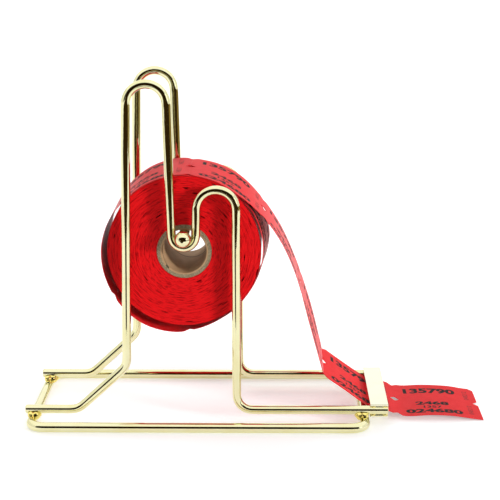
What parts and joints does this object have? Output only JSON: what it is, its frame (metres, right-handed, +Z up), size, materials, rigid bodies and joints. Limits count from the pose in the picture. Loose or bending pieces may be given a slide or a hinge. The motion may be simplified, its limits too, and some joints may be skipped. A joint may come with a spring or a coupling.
{
  "type": "counter ticket roll stand",
  "caption": "Bent wire counter stand that carries a roll of paper tickets on a lift-out axle and guides the strip through a slot between two flat plates.",
  "frame": {"origin": "centre of the base loop, on the surface that the stand rests on", "axes": "+X the way the tickets leave, +Y to the left side frame, +Z up"},
  "size_m": [0.268, 0.0968, 0.2009],
  "materials": {
    "wire": "bright polished plating over steel wire",
    "plate": "bright polished plating over steel strip",
    "weld": "plated weld beads",
    "axle": "mirror polished",
    "core": "spiral wound grey board",
    "ticket_paper": "uncoated ticket stock"
  },
  "bodies": {
    "stand": {"base_loop": "wire", "side_frame_right": "wire", "side_frame_left": "wire", "rear_welds": "weld", "front_welds": "weld", "guide_plate_top": "plate", "guide_plate_bottom": "plate", "top_plate_welds": "weld", "bottom_plate_welds": "weld", "ticket_run": "ticket_paper", "lead_ticket": "ticket_paper"},
    "axle": {"axle_rod": "axle", "axle_ball_right": "axle", "axle_ball_left": "axle", "loose_turn": "ticket_paper"},
    "roll": {"roll_core": "core", "wound_tickets": "ticket_paper"}
  },
  "joints": [
    {"name": "axle_lift", "type": "slide", "parent": "stand", "child": "axle", "axis": [0, 0, 1], "range_m": [0, 0.04], "deforming": ["ticket_run"]},
    {"name": "roll_spin", "type": "hinge", "parent": "axle", "child": "roll", "pos_m": [-0.0073, 0, 0.1021], "axis": [0, 1, 0], "continuous": true}
  ]
}
